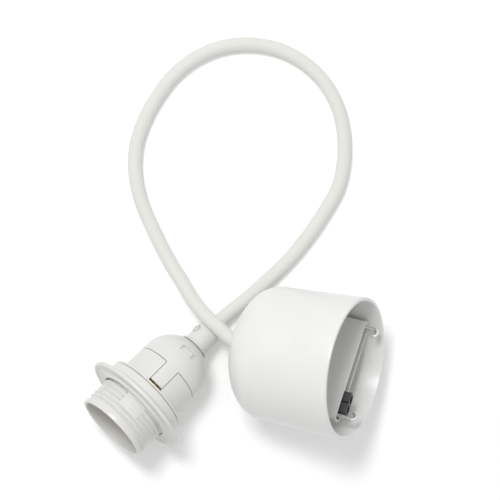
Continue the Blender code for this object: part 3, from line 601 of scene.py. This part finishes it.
def sleeve_nodes():
    """Geometry nodes that wrap a round sleeve on a curve and store each point's place on it."""
    tree = bpy.data.node_groups.new("textile_sleeve", "GeometryNodeTree")
    ports = tree.interface
    ports.new_socket("Curve", in_out="INPUT", socket_type="NodeSocketGeometry")
    for label, kind in (("Radius", "NodeSocketFloat"), ("Rings", "NodeSocketInt"),
                        ("Facets", "NodeSocketInt"), ("Seed", "NodeSocketInt"),
                        ("Unevenness", "NodeSocketFloat"), ("Material", "NodeSocketMaterial")):
        ports.new_socket(label, in_out="INPUT", socket_type=kind)
    ports.new_socket("Sleeve", in_out="OUTPUT", socket_type="NodeSocketGeometry")

    def add(kind, settings=(), **links):
        made = tree.nodes.new(kind)
        for name, value in dict(settings).items():
            setattr(made, name, value)
        for name, value in links.items():
            socket = made.inputs[name.replace("_", " ")]
            if isinstance(value, bpy.types.NodeSocket):
                tree.links.new(value, socket)
            else:
                socket.default_value = value
        return made

    given = add("NodeGroupInput").outputs
    fine = add("GeometryNodeResampleCurve", Curve=given["Curve"], Count=given["Rings"])
    length = add("GeometryNodeSplineParameter").outputs["Length"]
    turn = add("GeometryNodeSplineParameter").outputs["Factor"]
    keep_length = add("GeometryNodeCaptureAttribute", Geometry=fine.outputs[0])
    keep_length.capture_items.new("FLOAT", "Length")
    tree.links.new(length, keep_length.inputs[1])
    circle = add("GeometryNodeCurvePrimitiveCircle", Resolution=given["Facets"], Radius=given["Radius"])
    keep_turn = add("GeometryNodeCaptureAttribute", Geometry=circle.outputs[0])
    keep_turn.capture_items.new("FLOAT", "Factor")
    tree.links.new(turn, keep_turn.inputs[1])
    tube = add("GeometryNodeCurveToMesh", Curve=keep_length.outputs[0], Profile_Curve=keep_turn.outputs[0],
               Fill_Caps=True)
    angle = add("ShaderNodeMath", {"operation": "MULTIPLY"})
    tree.links.new(keep_turn.outputs[1], angle.inputs[0])
    angle.inputs[1].default_value = 2.0 * math.pi
    parts = add("ShaderNodeCombineXYZ", X=keep_length.outputs[1])
    for place, operation in ((1, "COSINE"), (2, "SINE")):
        wave = add("ShaderNodeMath", {"operation": operation})
        tree.links.new(angle.outputs[0], wave.inputs[0])
        tree.links.new(wave.outputs[0], parts.inputs[place])
    noise = add("ShaderNodeTexNoise", {"noise_dimensions": "4D"}, W=given["Seed"],
                Scale=CORD_LUMPS_PER_METRE, Detail=2.0)
    centred = add("ShaderNodeMath", {"operation": "SUBTRACT"})
    tree.links.new(noise.outputs[0], centred.inputs[0])
    centred.inputs[1].default_value = 0.5
    amount = add("ShaderNodeMath", {"operation": "MULTIPLY"})
    tree.links.new(centred.outputs[0], amount.inputs[0])
    tree.links.new(given["Unevenness"], amount.inputs[1])
    offset = add("ShaderNodeVectorMath", {"operation": "SCALE"}, Scale=amount.outputs[0])
    tree.links.new(add("GeometryNodeInputNormal").outputs[0], offset.inputs[0])
    stored = add("GeometryNodeStoreNamedAttribute", {"data_type": "FLOAT_VECTOR", "domain": "POINT"},
                 Geometry=tube.outputs[0], Name=CORD_PLACE, Value=parts.outputs[0])
    moved = add("GeometryNodeSetPosition", Geometry=stored.outputs[0], Offset=offset.outputs[0])
    smooth = add("GeometryNodeSetShadeSmooth", Geometry=moved.outputs[0])
    real = add("GeometryNodeRealizeInstances", Geometry=smooth.outputs[0])
    coloured = add("GeometryNodeSetMaterial", Geometry=real.outputs[0], Material=given["Material"])
    tree.links.new(coloured.outputs[0], add("NodeGroupOutput").inputs[0])
    return tree


def make_cord(material):
    """The textile cord along its whole route, baked from the sleeve's geometry nodes."""
    points, length = smooth_route([Vector(point) * MM for point in CORD_ROUTE], CORD_RINGS // 3)
    curve = bpy.data.curves.new("cord_route", "CURVE")
    curve.dimensions = "3D"
    spline = curve.splines.new("POLY")
    spline.points.add(len(points) - 1)
    for target, point in zip(spline.points, points):
        target.co = (*point, 1.0)
    line = link("cord_route", curve)
    modifier = line.modifiers.new("sleeve", "NODES")
    modifier.node_group = sleeve_nodes()
    wanted = {"Radius": CORD_DIAMETER / 2.0, "Rings": CORD_RINGS, "Facets": CORD_FACETS,
              "Seed": CORD_SEED, "Unevenness": CORD_UNEVENNESS, "Material": material}
    for item in modifier.node_group.interface.items_tree:
        if item.name in wanted:
            modifier[item.identifier] = wanted[item.name]
    line.update_tag()
    bpy.context.view_layer.update()
    baked = bpy.data.meshes.new_from_object(line.evaluated_get(bpy.context.evaluated_depsgraph_get()))
    bpy.data.objects.remove(line, do_unlink=True)
    piece = link("textile_cord", baked)
    dress(piece, material, "white_textile", BODY, "cord")
    return piece


def make_camera():
    data = bpy.data.cameras.new("camera")
    data.sensor_width = SENSOR_WIDTH_MM
    data.lens = SENSOR_WIDTH_MM * CAMERA_PLACE[2] / VIEW_WIDTH_AT_FLOOR
    camera = link("camera", data)
    camera.location = CAMERA_PLACE
    bpy.context.scene.camera = camera


def thread_radius(along, radius, angle):
    """Radius of the helical thread, faded at its two ends; other points of the section stay."""
    threaded = THREAD_START - THREAD_MARGIN < along < FLANGE_FRONT - THREAD_MARGIN
    if radius != THREAD_ROOT_RADIUS or not threaded:
        return radius
    turn = angle / (2.0 * math.pi)
    phase = ((along - THREAD_START) / THREAD_PITCH - turn) % 1.0
    ridge = max(0.0, 1.0 - abs(phase - 0.5) / RIDGE_HALF_SHARE)
    height = (THREAD_CREST_RADIUS - THREAD_ROOT_RADIUS) * min(1.0, RIDGE_FULLNESS * ridge)
    rise = (along - THREAD_START + RIDGE_LEAD) / RIDGE_RISES_IN
    fade = (FLANGE_FRONT - THREAD_MARGIN - along) / RIDGE_FADES_IN
    return radius + height * max(min(rise, fade, 1.0), 0.0)


def make_skirt(white, place):
    """Threaded skirt with one helical ridge cut away on two flats, its flange and the panels behind it."""
    flange_back = FLANGE_FRONT + FLANGE_THICKNESS
    inner = BODY_RADIUS - BODY_WALL
    corner = LIP_CORNER_SHARE * LIP_ROUND
    thread_front = SKIRT_BAND_LENGTH + SKIRT_BAND_STEP
    thread_length = FLANGE_FRONT - SKIRT_BAND_LENGTH - SKIRT_BAND_STEP
    section = [(0.0, SKIRT_BORE_RADIUS + LIP_ROUND), (0.0, SKIRT_BAND_RADIUS - LIP_ROUND),
               (corner, SKIRT_BAND_RADIUS - corner), (LIP_ROUND, SKIRT_BAND_RADIUS),
               (SKIRT_BAND_LENGTH - LIP_CORNER, SKIRT_BAND_RADIUS),
               (SKIRT_BAND_LENGTH, SKIRT_BAND_RADIUS - LIP_CORNER), (thread_front, THREAD_ROOT_RADIUS)]
    for step in range(1, THREAD_STEPS + 1):
        section.append((thread_front + step / THREAD_STEPS * thread_length, THREAD_ROOT_RADIUS))
    edge = EDGE_ROUND
    section += [(FLANGE_FRONT, FLANGE_RADIUS - edge), (FLANGE_FRONT + edge, FLANGE_RADIUS),
                (flange_back - edge, FLANGE_RADIUS), (flange_back, FLANGE_RADIUS - edge),
                (flange_back, BODY_RADIUS), (PANEL_END - edge, BODY_RADIUS), (PANEL_END, BODY_RADIUS - edge),
                (PANEL_END, inner), (SHELF_FRONT + SHELF_THICKNESS, inner),
                (SHELF_FRONT + SHELF_THICKNESS, SHELF_BORE_RADIUS), (SHELF_FRONT, SHELF_BORE_RADIUS),
                (SHELF_FRONT, inner), (FLANGE_FRONT, inner),
                (FLANGE_FRONT - BODY_WALL, SKIRT_BORE_RADIUS), (LIP_ROUND, SKIRT_BORE_RADIUS)]
    mesh = turned_mesh("threaded_skirt_fine", section, HOLDER_FACETS, thread_radius)
    still = Matrix.Identity(4)
    side_angle = TONGUE_HALF_ANGLE + TONGUE_SIDE_GAP / BODY_RADIUS
    cuts = []
    for turned in (0.0, math.pi):
        cuts.append((sector_mesh("flat", THREAD_FLAT_FROM, FLANGE_FRONT - GAP, THREAD_ROOT_RADIUS + SKIN,
                                 THREAD_CREST_RADIUS + BODY_WALL, THREAD_FLAT_HEADING + turned,
                                 THREAD_FLAT_HALF_ANGLE), still))
        cuts.append((sector_mesh("slot", flange_back + GAP, PANEL_END + BODY_WALL, inner - BODY_WALL / 2.0,
                                 BODY_RADIUS + BODY_WALL, TONGUE_HEADING + turned, side_angle), still))
    piece = finished("threaded_skirt_fine", mesh, place, cuts)
    return dress(piece, white, "white_plastic", BODY, "threaded_skirt")


def make_ring(white, place):
    """Shade ring with its rolled rim, dish and collar."""
    bore = THREAD_CREST_RADIUS + RING_CLEARANCE
    dish = RING_HUB_FRONT + RING_DISH_DEPTH
    rim_half = RING_RIM_THICKNESS / 2.0
    rim_middle = ring_rim_middle()
    collar_end = FLANGE_FRONT - GAP
    section = [(RING_HUB_FRONT + LIP_ROUND, bore), (RING_HUB_FRONT + LIP_CORNER, bore + LIP_CORNER),
               (RING_HUB_FRONT, bore + LIP_ROUND), (RING_HUB_FRONT, bore + RING_HUB_LIP),
               (RING_HUB_FRONT + RING_DISH_ROUND, bore + RING_HUB_LIP + RING_DISH_ROUND),
               (dish - RING_DISH_ROUND, bore + RING_DISH_FOOT - RING_DISH_SLANT),
               (dish, bore + RING_DISH_FOOT), (dish, RING_RIM_RADIUS - RING_RIM_WIDTH)]
    for step in range(RING_ROLL_STEPS + 1):
        angle = math.radians(RING_ROLL_FROM_DEGREES - step * RING_ROLL_STEP_DEGREES)
        section.append((rim_middle + rim_half * math.cos(angle),
                        RING_RIM_RADIUS - rim_half + rim_half * math.sin(angle)))
    for along, outward in RING_COLLAR_CURVE:
        section.append((RING_FLANGE_BACK + along, RING_COLLAR_RADIUS + outward))
    section += [(collar_end - LIP_ROUND, RING_COLLAR_RADIUS),
                (collar_end - LIP_CORNER, RING_COLLAR_RADIUS - LIP_CORNER),
                (collar_end, RING_COLLAR_RADIUS - LIP_ROUND), (collar_end, bore)]
    mesh = turned_mesh("shade_ring_fine", section, HOLDER_FACETS)
    return dress(finished("shade_ring_fine", mesh, place), white, "white_plastic", RING_BODY, "shade_ring")


def make_cap(white, place):
    """Domed cap with its two tongues and the flush snap tab in its window."""
    spigot_outer = BODY_RADIUS - BODY_WALL - GAP
    spigot_inner = spigot_outer - CAP_SPIGOT_WALL
    cap_front = PANEL_END + GAP
    neck_bore = NIPPLE_THREAD_RADIUS + GAP
    neck_inner = CAP_LENGTH - NECK_DEPTH
    inner_depth = CAP_DOME_DEPTH - CAP_WALL
    inner_radius = BODY_RADIUS - CAP_WALL
    tip = math.asin((CAP_LENGTH - CAP_DOME_START) / CAP_DOME_DEPTH)
    inner_tip = math.asin((neck_inner - CAP_DOME_START) / inner_depth)
    edge = EDGE_ROUND
    section = [(cap_front - CAP_SPIGOT_LENGTH, spigot_inner), (cap_front - CAP_SPIGOT_LENGTH, spigot_outer),
               (cap_front, spigot_outer), (cap_front, BODY_RADIUS - edge), (cap_front + edge, BODY_RADIUS)]
    section += ellipse(CAP_DOME_START, CAP_DOME_DEPTH, BODY_RADIUS, 0.0, tip, CAP_DOME_STEPS)
    section += [(CAP_LENGTH, neck_bore), (neck_inner, neck_bore)]
    section += ellipse(CAP_DOME_START, inner_depth, inner_radius, inner_tip, 0.0, CAP_INNER_STEPS)
    section.append((cap_front + CAP_WALL / 2.0, spigot_inner))
    mesh = turned_mesh("holder_cap_fine", section, HOLDER_FACETS)
    still = Matrix.Identity(4)
    tongue_front = FLANGE_FRONT + FLANGE_THICKNESS + TONGUE_END_GAP
    joins = [(sector_mesh("tongue", tongue_front, cap_front + CAP_WALL, BODY_RADIUS - BODY_WALL + GAP,
                          BODY_RADIUS - SKIN, TONGUE_HEADING + turned, TONGUE_HALF_ANGLE), still)
             for turned in (0.0, math.pi)]
    along_dome = (CAP_WINDOW_PLACE - CAP_DOME_START) / CAP_DOME_DEPTH
    height = BODY_RADIUS * math.sqrt(1.0 - along_dome ** 2)
    slope = math.atan2(BODY_RADIUS * along_dome, CAP_DOME_DEPTH * math.sqrt(1.0 - along_dome ** 2))
    half_width, half_length = CAP_WINDOW_WIDTH / 2.0, CAP_WINDOW_LENGTH / 2.0
    window = box_mesh("cap_window", (-half_width, -CAP_WINDOW_DEPTH, -half_length),
                      (half_width, 2.0 * CAP_WALL, half_length))
    seat = (Matrix.Rotation(-TONGUE_HEADING, 4, "Z") @ Matrix.Translation((0.0, height, CAP_WINDOW_PLACE))
            @ Matrix.Rotation(slope, 4, "X"))
    piece = finished("holder_cap_fine", mesh, place, [(window, seat)], joins)
    dress(piece, white, "white_plastic", BODY, "holder_cap")
    tab_width, tab_length = half_width - TAB_SIDE_GAP, half_length - TAB_END_GAP
    tab_mesh = box_mesh("snap_tab", (-tab_width, -CAP_WINDOW_DEPTH - TAB_FOOT, -tab_length),
                        (tab_width, -TAB_BELOW_DOME, tab_length))
    tab = finished("snap_tab", tab_mesh, place @ seat, bevel=TAB_EDGE)
    return dress(tab, white, "white_plastic", BODY)


def make_nipple(white, place):
    """Nipple in the cap's neck, open at its side for the grip screw."""
    bore = CORD_DIAMETER / 2.0 + GAP
    seat = CAP_LENGTH + GAP
    barrel = seat + NIPPLE_FLANGE_THICKNESS
    end = seat + NIPPLE_LENGTH
    edge = NIPPLE_EDGE
    section = [(CAP_LENGTH - NECK_DEPTH + GAP, bore), (CAP_LENGTH - NECK_DEPTH + GAP, NIPPLE_THREAD_RADIUS),
               (seat, NIPPLE_THREAD_RADIUS), (seat, NIPPLE_FLANGE_RADIUS - edge),
               (seat + edge, NIPPLE_FLANGE_RADIUS), (barrel - edge, NIPPLE_FLANGE_RADIUS),
               (barrel, NIPPLE_FLANGE_RADIUS - edge), (barrel, NIPPLE_RADIUS + edge),
               (barrel + edge, NIPPLE_RADIUS)]
    for step in range(NIPPLE_ROUND_STEPS + 1):
        angle = math.radians(90.0 / NIPPLE_ROUND_STEPS * step)
        section.append((end - NIPPLE_ROUND + NIPPLE_ROUND * math.sin(angle),
                        NIPPLE_RADIUS - NIPPLE_ROUND + NIPPLE_ROUND * math.cos(angle)))
    section.append((end, bore))
    mesh = turned_mesh("nipple_fine", section, SMALL_FACETS)
    across = Matrix.Rotation(-GRIP_SCREW_HEADING, 4, "Z") @ Matrix.Translation(
        (0.0, 0.0, seat + GRIP_SCREW_PLACE)) @ Matrix.Rotation(-math.pi / 2.0, 4, "X")
    hole = rod_mesh("grip_hole", GRIP_SCREW_RADIUS + GAP, bore - NIPPLE_ROUND,
                    NIPPLE_RADIUS + NIPPLE_ROUND, HOLE_FACETS)
    piece = finished("nipple_fine", mesh, place, [(hole, across)])
    return dress(piece, white, "white_plastic", BODY, "cord_grip_nipple")


def make_cup(white, place):
    """Ceiling cup turned in one piece, with a domed end and a hole for the cord."""
    length = CUP_DOME_DEPTH + CUP_SIDE_LENGTH
    hole = math.acos(CUP_HOLE_RADIUS / CUP_SHOULDER_RADIUS)
    inner_radius, inner_depth = CUP_SHOULDER_RADIUS - CUP_WALL, CUP_DOME_DEPTH - CUP_WALL
    inner_hole = math.acos(CUP_HOLE_RADIUS / inner_radius)
    section = ellipse(CUP_DOME_DEPTH, -CUP_DOME_DEPTH, CUP_SHOULDER_RADIUS, hole, 0.0, CUP_DOME_STEPS)
    for step in range(1, CUP_SIDE_STEPS):
        share = step / CUP_SIDE_STEPS
        section.append((CUP_DOME_DEPTH + share * (CUP_SIDE_LENGTH - LIP_ROUND),
                        CUP_SHOULDER_RADIUS + share * (CUP_RIM_RADIUS - CUP_SHOULDER_RADIUS)))
    section += [(length - LIP_ROUND, CUP_RIM_RADIUS), (length - LIP_CORNER, CUP_RIM_RADIUS - LIP_CORNER),
                (length, CUP_RIM_RADIUS - LIP_ROUND), (length, CUP_RIM_RADIUS - CUP_WALL + LIP_ROUND),
                (length - LIP_CORNER, CUP_RIM_RADIUS - CUP_WALL + LIP_CORNER),
                (length - LIP_ROUND, CUP_RIM_RADIUS - CUP_WALL)]
    section += ellipse(CUP_DOME_DEPTH, -inner_depth, inner_radius, 0.0, inner_hole, CUP_INNER_STEPS)
    mesh = turned_mesh("ceiling_cup_fine", section, CUP_FACETS)
    return dress(finished("ceiling_cup_fine", mesh, place), white, "white_plastic", BODY, "ceiling_cup")


def seen_directly(tree):
    """1 for the rays that show the surroundings, and 0 for the rays that light the object."""
    outputs = tree.nodes.new("ShaderNodeLightPath").outputs
    rays = [Shade(tree, outputs[name]) for name in ("Is Camera Ray", "Is Glossy Ray", "Is Transmission Ray")]
    return rays[0].larger(rays[1]).larger(rays[2])


def make_sky():
    """White world, plain white where it is seen and softer where it lights the object."""
    world = bpy.data.worlds.new("studio")
    bpy.context.scene.world = world
    world.use_nodes = True
    tree = world.node_tree
    back = tree.nodes["Background"]
    back.inputs["Color"].default_value = (1.0, 1.0, 1.0, 1.0)
    strength = SKY_STRENGTH + seen_directly(tree) * (1.0 - SKY_STRENGTH)
    tree.links.new(strength.source, back.inputs["Strength"])


def make_floor():
    """Pale floor that keeps the shadow, lifted to white only where it is seen."""
    material, shader, place = new_material("floor")
    shader.inputs["Base Color"].default_value = (FLOOR_COLOUR, FLOOR_COLOUR, FLOOR_COLOUR, 1.0)
    shader.inputs["Roughness"].default_value = 1.0
    shader.inputs["Specular IOR Level"].default_value = 0.0
    shader.inputs["Emission Strength"].default_value = 1.0
    feed(shader, "Emission Color", seen_directly(place.tree) * FLOOR_LIFT)
    half = FLOOR_HALF_WIDTH
    mesh = bpy.data.meshes.new("floor")
    mesh.from_pydata([(-half, -half, 0.0), (half, -half, 0.0), (half, half, 0.0), (-half, half, 0.0)], [],
                     [(0, 1, 2, 3)])
    mesh.materials.append(material)
    link("floor", mesh)


def make_lamp():
    """One soft lamp, nearly overhead and a little towards the top of the picture."""
    lamp = bpy.data.lights.new("soft_box", "AREA")
    lamp.shape = "SQUARE"
    lamp.size = KEY_SIZE
    lamp.energy = KEY_POWER
    box = link("soft_box", lamp)
    box.location = KEY_PLACE
    aim = Vector(KEY_TARGET) - Vector(KEY_PLACE)
    box.rotation_euler = aim.to_track_quat("-Z", "Y").to_euler()


def paint_nodes(materials):
    """Gives each shown node the material of its slot; the grip screw is white plastic in the photograph."""
    slots = {entry["node"]: entry["material_slot"] for entry in frame["record"]["subparts"]}
    for name, node in frame["nodes"].items():
        chosen = "white_plastic" if name == "grip_screw" else slots[name]
        for place in node.material_slots:
            place.material = materials[chosen]


def main():
    white = plastic("white_plastic", HOLDER_WHITE, 0.34)
    textile_sleeve = textile()
    cup_white = plastic("cup_plastic", CUP_WHITE, 0.30, tone=0.015, grain=CUP_GRAIN, mark=GATE_MARK_PLACE)
    materials = {
        "white_plastic": white,
        "white_textile": textile_sleeve,
        "ceramic": glazed_ceramic(),
        "brass": metal("brass", BRASS, 0.28, BRASS_TARNISH, streak_scale=700.0),
        "steel": metal("steel", STEEL, 0.26, STEEL_TARNISH, streak_scale=900.0),
        "black_plastic": plastic("black_plastic", BLACK, 0.42, tone=0.1),
        "brown_wire": plastic("brown_wire", BROWN, 0.42, tone=0.08),
        "blue_wire": plastic("blue_wire", BLUE, 0.42, tone=0.08),
    }
    make_camera()
    make_cord(textile_sleeve)
    holder = holder_frame()
    make_skirt(white, holder)
    make_ring(white, holder)
    make_cap(white, holder)
    make_nipple(white, holder)
    make_cup(cup_white, cup_frame())
    paint_nodes(materials)
    make_sky()
    make_floor()
    make_lamp()
    bpy.context.scene.view_settings.view_transform = "Standard"


main()
